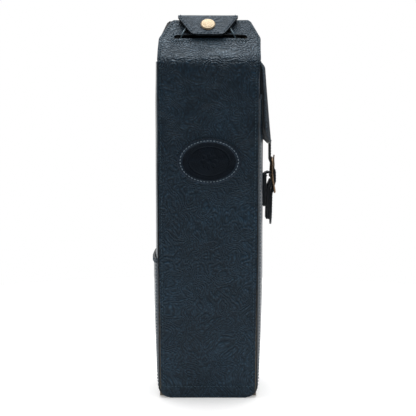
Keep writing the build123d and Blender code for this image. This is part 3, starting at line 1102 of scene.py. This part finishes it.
# ---- oval patch ------------------------------------------------------------------------------
@dataclass
class Patch:
    """Oval patch with a raised rim, a pressed oval line and a plain rosette."""

    half_length: float = 35.2 * MM
    half_height: float = 24.9 * MM
    middle: float = 1.3 * MM
    height: float = 263.6 * MM
    motif_share: float = 0.74
    field_share: float = 0.82
    seam_share: float = 0.90
    rim_height: float = 2.35 * MM

    def place(self, share: float, angle: float, lift: float) -> Vector:
        """A point of the patch; share is 1 at its edge.

        Args:
            share: how far out it is, as a share of the patch.
            angle: its angle round the patch.
            lift: height off the panel.

        Returns:
            The point.
        """
        across = self.middle + share * self.half_length * math.cos(angle)
        return Vector((across, -WALL - lift,
                       self.height + share * self.half_height * math.sin(angle)))

    def press(self, x: float, z: float) -> float:
        """Depth of the pressed motif, a plain rosette of eight petals.

        Args:
            x: distance across from the patch's middle.
            z: height from the middle.

        Returns:
            The depth.
        """
        radius, angle = math.hypot(x, z), math.atan2(z, x)
        reach = (3.5 + 6.0 * math.sqrt(abs(math.cos(angle * 4)))) * MM
        petal = ease(radius, 1.6 * MM, 2.6 * MM) * (1 - ease(radius, reach - 1.4 * MM, reach))
        return 0.4 * MM * petal

    def build(self) -> None:
        """Makes the patch and its ring of stitches."""
        lifts = ((0.0, 1.0), (0.06, 1.0), (0.12, 1.0), (0.18, 1.0), (0.24, 1.0), (0.30, 1.0),
                 (0.36, 1.0), (0.48, 1.0), (0.60, 1.0), (0.63, 0.65), (0.66, 1.0), (0.74, 1.02),
                 (0.80, 1.1), (0.83, 1.3), (0.85, 1.9), (0.875, 2.35), (0.92, 2.45),
                 (0.96, 2.3), (0.985, 1.8), (1.0, 1.0), (1.0, -0.6))
        bm = spun([(share, lift * MM) for share, lift in lifts], 96)
        inner = [f for f in bm.faces if f.calc_center_median().xy.length < 0.7]
        edges = {e for f in inner for e in f.edges}
        bmesh.ops.subdivide_edges(bm, edges=list(edges), cuts=2, use_grid_fill=True)
        for vert in bm.verts:
            share, angle = vert.co.xy.length, math.atan2(vert.co.y, vert.co.x)
            vert.co = self.place(share, angle, vert.co.z)
            if share < self.motif_share:
                vert.co.y += self.press(vert.co.x - self.middle, vert.co.z - self.height)
        for face in bm.faces:
            spot = face.calc_center_median() - self.place(0, 0, 0)
            share = math.hypot(spot.x / self.half_length, spot.z / self.half_height)
            face.material_index = int(share < self.field_share)
        bmesh.ops.recalc_face_normals(bm, faces=bm.faces)
        case = Joining("case")
        make_piece("patch", bm, Finish.SMOOTH, case, ("oval_patch",),
                   second=Finish.PRESSED)
        bm = bmesh.new()
        ring = [(self.seam_share, math.tau * i / 90) for i in range(90)]
        Stitching().along(bm, lambda a, b, lift=0.0: self.place(a, b, self.rim_height + lift),
                          ring, closed=True)
        make_piece("patch_seam", bm, Finish.PALE_THREAD, case)


# ---- snap tab, tongue and snap ---------------------------------------------------------------
@dataclass
class SnapTab:
    """The grip on the left roof with the tab that folds over the ridge, and the tongue."""

    thickness: float = 3.0 * MM
    tip: tuple[float, float] = (33.3, 401.8)
    ridge: tuple[float, float] = (13.1, 423.6)
    slope: float = math.radians(47.0)
    snap_from_ridge: float = 15.2 * MM
    cap_radius: float = 8.3 * MM

    def __post_init__(self) -> None:
        """Lays out the tab from its tip to the grip's foot."""
        corners = [self.tip, self.ridge, (-7.2, 423.4), (-24.0, 406.95)]
        width = Table((0, 17.4), (27.5, 33.4), (32.0, 33.0), (39.0, 31.4), (90, 31.0))
        self.sheet = Sheet(Side.RIGHT, Route(corners, 4.5),
                           lambda a: width(a) - corner_cut(a, 4.5 * MM), 1.0 * MM, self.relief)

    def relief(self, across: float, along: float) -> float:
        """The tab's soft curl."""
        waves = 0.3 * MM * ripple(Vector((across, along, 0.0)), 0.03, 31.0)
        return waves - 0.5 * MM * (across / 0.033) ** 2 * ease(0.03 - along, 0, 0.02)

    def build(self) -> None:
        """Makes the tab, its seams, the cap and the tongue."""
        joining = Joining("left_roof", "tab", (0, -0.0112, 0.4234), (0, -0.0152, 0.4234))
        make_piece("tab", self.sheet.bend(self.sheet.flat()), Finish.SMOOTH, joining,
                   ("snap_tab", "snap_tab_lining", "grip_wrap"), self.thickness)
        bm = bmesh.new()
        sheet, top = self.sheet, self.sheet.route.length
        sewing = Stitching()
        sewing.edges(bm, sheet, 2.3 * MM, 4 * MM, top - 3 * MM)
        sewing.across(bm, sheet, 2.4 * MM, 13 * MM)
        sewing.across(bm, sheet, top - 2.4 * MM, 27 * MM)
        make_piece("tab_seams", bm, Finish.THREAD, joining)
        self.cap()
        self.tongue()

    def cap(self) -> None:
        """Makes the domed cap with its plain engraved rings and rays."""
        rim = self.cap_radius / MM
        profile = ((0, 2.35), (0.9, 2.35), (1.5, 2.05), (2.1, 2.3), (3.4, 2.3), (4.6, 2.22),
                   (5.3, 2.15), (5.7, 1.8), (6.2, 2.05), (7.2, 1.75), (7.9, 1.2), (rim, 0.45),
                   (rim, -0.4))
        bm = spun([(out * MM, up * MM) for out, up in profile], 72)
        for vert in bm.verts:
            radius, angle = vert.co.xy.length, math.atan2(vert.co.y, vert.co.x)
            ray = ease(radius, 2.0 * MM, 2.6 * MM) * (1 - ease(radius, 4.8 * MM, 5.4 * MM))
            vert.co.z -= 0.28 * MM * ray * (0.5 + 0.5 * math.cos(angle * 12))
        bmesh.ops.recalc_face_normals(bm, faces=bm.faces)
        leg = Vector(self.tip) - Vector(self.ridge)
        spot = (Vector(self.ridge) + leg.normalized() * self.snap_from_ridge / MM) * MM
        out = Vector((0, -math.sin(self.slope), math.cos(self.slope)))
        up = Vector((0, math.cos(self.slope), math.sin(self.slope)))
        turn = Matrix((Vector((1, 0, 0)), up, out)).transposed().to_4x4()
        bmesh.ops.transform(bm, verts=bm.verts,
                            matrix=Matrix.Translation(Side.RIGHT.place(0, *spot)) @ turn)
        make_piece("cap", bm, Finish.GOLD, Joining("tab"), ("snap_cap",))

    def tongue(self) -> None:
        """Makes the tongue that comes up through the slot and carries the stud."""
        def roof(along: float, lift: float) -> tuple[float, float]:
            """A point at a distance up the roof and off it, in millimetres."""
            run = Vector((46, -45)).normalized()
            return (55 - along * run.x - lift * run.y, 372 - along * run.y + lift * run.x)

        corners = [roof(30, -5.5), roof(37.5, -4.5), roof(42.5, 2.0), roof(62, 2.0)]
        width = Table((0, 32.0), (7, 31.0), (10, 30.2), (14, 28.4), (18, 26.4), (22, 24.9),
                      (27, 23.8), (40, 22.5))
        sheet = Sheet(Side.RIGHT, Route(corners, 6.0), width, 1.0 * MM)
        joining = Joining("right_roof")
        # The tongue's near-black finish is painted shade under the tab; its pale rims are painted
        # highlight.
        make_piece("tongue", sheet.bend(sheet.flat()), Finish.INNER, joining,
                   ("stud_tongue",), 1.8 * MM, Finish.PALE_EDGE)
        # The edging's pale colour is painted highlight along the tongue's lit edges.
        bm = bmesh.new()
        for hand in (-1, 1):
            line = sheet.seam(0.0, 1 * MM, sheet.route.length - 3 * MM, hand)
            tube(bm, [sheet.spot(a, b, 0.3 * MM) for a, b in line], 0.95 * MM, 0.95 * MM, sides=8)
        make_piece("tongue_edging", bm, Finish.PALE_EDGE, joining)


# ---- front flap ------------------------------------------------------------------------------
@dataclass
class Flap:
    """The front flap, bent over at its root and bowed across its width."""

    half_width: float = 48.0 * MM
    leather: float = 1.8 * MM
    lining: float = 2.4 * MM
    end_rise: float = 5.0 * MM
    corner_radius: float = 16.0 * MM

    def __post_init__(self) -> None:
        """Lays out the flap from its end to its root."""
        corners = [(71.2, 280.8), (65.3, 346.0), (63.6, 366.5), (58.5, 372.6), (54.6, 373.0)]
        self.sheet = Sheet(Side.FRONT, Route(corners, 8.0), lambda a: self.half_width, 1.5 * MM,
                           self.relief, self.sway)

    def relief(self, across: float, along: float) -> float:
        """How the flap bows towards the box at its corners.

        Args:
            across: distance across the flap.
            along: length along it.

        Returns:
            The height off the route.
        """
        share = (across / self.half_width) ** 2
        waves = 0.3 * MM * ripple(Vector((across, along, 0.0)), 0.04, 41.0)
        bow = 7.0 * MM - 2.0 * MM * ease(along, 0.01, 0.06)
        return waves - bow * share ** 1.8 * (1 - 0.5 * ease(along, 0.085, 0.1))

    def sway(self, across: float, along: float) -> tuple[float, float]:
        """Raises the end at its corners and rounds them off.

        Args:
            across: distance across the flap.
            along: length along it.

        Returns:
            The shifts across and along.
        """
        share = (across / self.half_width) ** 2
        cut = corner_cut(self.half_width - abs(across), self.corner_radius)
        rise = self.end_rise * share + cut * 0.9
        return 0.0, rise * (1 - min(1.0, along / 0.075))

    def build(self) -> None:
        """Makes the leather, the lining and the seams."""
        joining = Joining("case", "flap", (0.0555, 0, 0.372), (0.0625, 0, 0.366))
        # The flap's darker hide is painted shade, not a leather of another colour.
        make_piece("flap", self.sheet.bend(self.sheet.flat()), Finish.FLAP, joining,
                   ("front_flap",), self.leather)
        stop = self.sheet.route.length - 9 * MM
        lining = self.sheet.bend(self.sheet.flat(0.4 * MM, stop), -self.leather)
        make_piece("flap_lining", lining, Finish.LINING, joining,
                   ("front_flap_lining",), self.lining)
        bm = bmesh.new()
        sheet, top, reach = self.sheet, self.sheet.route.length, self.half_width - 3 * MM
        sewing = Stitching()
        sewing.edges(bm, sheet, 3 * MM, 5 * MM, top - 4 * MM)
        sewing.across(bm, sheet, 3 * MM, reach, count=40)
        sewing.across(bm, sheet, top - 4 * MM, reach)
        make_piece("flap_seams", bm, Finish.THREAD, joining)


# ---- strap and buckle ------------------------------------------------------------------------
@dataclass
class Fastening:
    """The strap, the chape and the small centre-bar buckle that joins them."""

    half_width: float = 12.0 * MM
    bar: Vector = field(default_factory=lambda: Vector((71.7, 244.6)) * MM)
    top_bar: Vector = field(default_factory=lambda: Vector((72.6, 264.3)) * MM)
    bottom_bar: Vector = field(default_factory=lambda: Vector((76.0, 225.3)) * MM)
    half_frame: float = 15.0 * MM
    hole_size: float = 3.0 * MM
    prong_ring: float = 1.9 * MM

    def build(self) -> None:
        """Makes every piece."""
        self.strap()
        self.chape()
        self.buckle()
        self.prong()

    def strip(self, route: Route, name: str, thickness: float, joining: Joining,
              node: str, width: Callable[[float], float], holes: Iterable[float] = ()) -> None:
        """Makes a strip of strap leather with a seam down each edge.

        Args:
            route: its line, seen from the side.
            name: the piece's name.
            thickness: the leather's thickness.
            joining: the bodies that it goes with.
            node: the node that it replaces.
            width: half its width along its length.
            holes: lengths along it of its round holes.
        """
        sheet = Sheet(Side.FRONT, route, width, 1.0 * MM)
        flat = sheet.flat()
        for along in holes:
            size = (self.hole_size / self.half_width, self.hole_size)
            punch(flat, rounded_outline((0.0, along), size, (size[0] / 2.001, size[1] / 2.001), 3))
        make_piece(name, sheet.bend(flat), Finish.SMOOTH, joining, (node,), thickness)
        bm = bmesh.new()
        fine = Stitching(pitch=3.2 * MM, length=2.2 * MM, radius=0.28 * MM)
        fine.edges(bm, sheet, 2.0 * MM, 7 * MM, route.length - 2 * MM)
        make_piece(f"{name}_seams", bm, Finish.THREAD, joining)

    def strap(self) -> None:
        """Makes the strap, from its pointed tip up to the flap."""
        corners = [(72.2, 188.6), (72.9, 223.5), (76.8, 238.5), (76.6, 250.0), (71.0, 262.5),
                   (70.9, 281.0), (68.6, 292.0)]
        point = Table((0, 2.5), (1.5, 6.0), (4, 8.6), (8, 10.8), (12, 11.8), (14, 12.0))
        joining = Joining("flap", "strap_end", (0.0713, 0, 0.2835), (0.0713, 0, 0.2785))
        self.strip(Route(corners, 6.0), "strap_leather", 1.8 * MM, joining, "strap", point,
                   (12 * MM, 22 * MM, 32 * MM))

    def chape(self) -> None:
        """Makes the loop that holds the buckle's centre bar."""
        corners = [(70.1, 195.0), (70.7, 230.0), (74.4, 239.0), (74.4, 247.9), (67.0, 248.9),
                   (62.5, 246.0), (62.5, 209.9)]
        route, joining = Route(corners, 2.6), Joining("strap_end")
        self.strip(route, "chape_leather", 1.5 * MM, joining, "chape", lambda a: self.half_width)
        sheet = Sheet(Side.FRONT, route, lambda a: self.half_width - 0.2 * MM, 1.5 * MM)
        for name, start, stop, thickness in (
            ("chape_front_pad", 0.3 * MM, 45 * MM, 3.0 * MM),
            ("chape_back_pad", route.length - 39 * MM, route.length - 0.3 * MM, 2.2 * MM),
        ):
            pad = sheet.bend(sheet.flat(start, stop), -1.5 * MM)
            make_piece(name, pad, Finish.SMOOTH, joining, (), thickness)

    def buckle(self) -> None:
        """Makes the rounded frame with its centre bar."""
        bm = bmesh.new()
        points, count = [], 20
        for half, end in enumerate((self.top_bar, self.bottom_bar)):
            for i in range(count + 1):
                angle = math.pi * (half + i / count)
                across = math.cos(angle) * self.half_frame
                share = abs(math.sin(angle)) ** 0.45
                spot = self.bar.lerp(end, 0.25 + 0.75 * share)
                points.append(Vector((spot.x, across, spot.y)))
        tube(bm, points, 1.5 * MM, 1.15 * MM, closed=True)
        bar = [Vector((self.bar.x, self.half_frame * share, self.bar.y))
               for share in (-1, -0.5, 0, 0.5, 1)]
        tube(bm, bar, 1.1 * MM, 1.1 * MM)
        make_piece("buckle", bm, Finish.BRASS, Joining("strap_end"),
                   ("buckle_frame",))

    def prong(self) -> None:
        """Makes the prong with its ring round the centre bar."""
        bm = bmesh.new()
        ring, reach = [], self.prong_ring
        for i in range(16):
            angle = math.tau * i / 16
            ring.append(Vector((self.bar.x + reach * math.cos(angle), 0,
                                self.bar.y + reach * math.sin(angle))))
        tube(bm, ring, 1.2 * MM, 0.7 * MM, closed=True, sides=10)
        line = [(73.4, 245.2), (74.2, 248.5), (75.0, 252.5), (75.2, 256.5), (74.9, 260.5),
                (74.8, 264.5), (75.2, 267.6)]
        tube(bm, [Vector((x * MM, 0, z * MM)) for x, z in line], 1.2 * MM, 0.8 * MM, sides=10)
        make_piece("prong", bm, Finish.BRASS, Joining("prong"), ("buckle_prong",))


# ---- the frame's own nodes -------------------------------------------------------------------
def dress_nodes() -> None:
    """Gives every node that stays in view its finish."""
    finishes = {
        "board": Finish.BOARD, "roof_board": Finish.BOARD, "lining": Finish.LINING,
        "sleeve": Finish.LINING, "stud": Finish.STEEL, "socket": Finish.STEEL,
    }
    for name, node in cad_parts.items():
        finish = Finish.GOLD if name.startswith("snap_s") else finishes.get(name.split("_")[-1])
        if finish is None:
            continue
        if not node.material_slots:
            node.data.materials.append(finish.material)
        for place in node.material_slots:
            place.material = finish.material


def main() -> None:
    """Builds the scene."""
    logging.basicConfig(level=logging.INFO, format="%(name)s: %(message)s")
    studio = Studio()
    studio.camera()
    studio.light()
    studio.floor()
    SidePanel(Side.RIGHT, "right_roof", seed=1.0, lean=(1.2 * MM, 3.4 * MM),
              slot_shift=1.0 * MM).build()
    SidePanel(Side.LEFT, "left_roof", seed=7.0, lean=(0.8 * MM, 1.8 * MM),
              slot_shift=-5.5 * MM).build()
    Gusset().build()
    Patch().build()
    SnapTab().build()
    Flap().build()
    Fastening().build()
    dress_nodes()


if __name__ == "__main__":
    main()
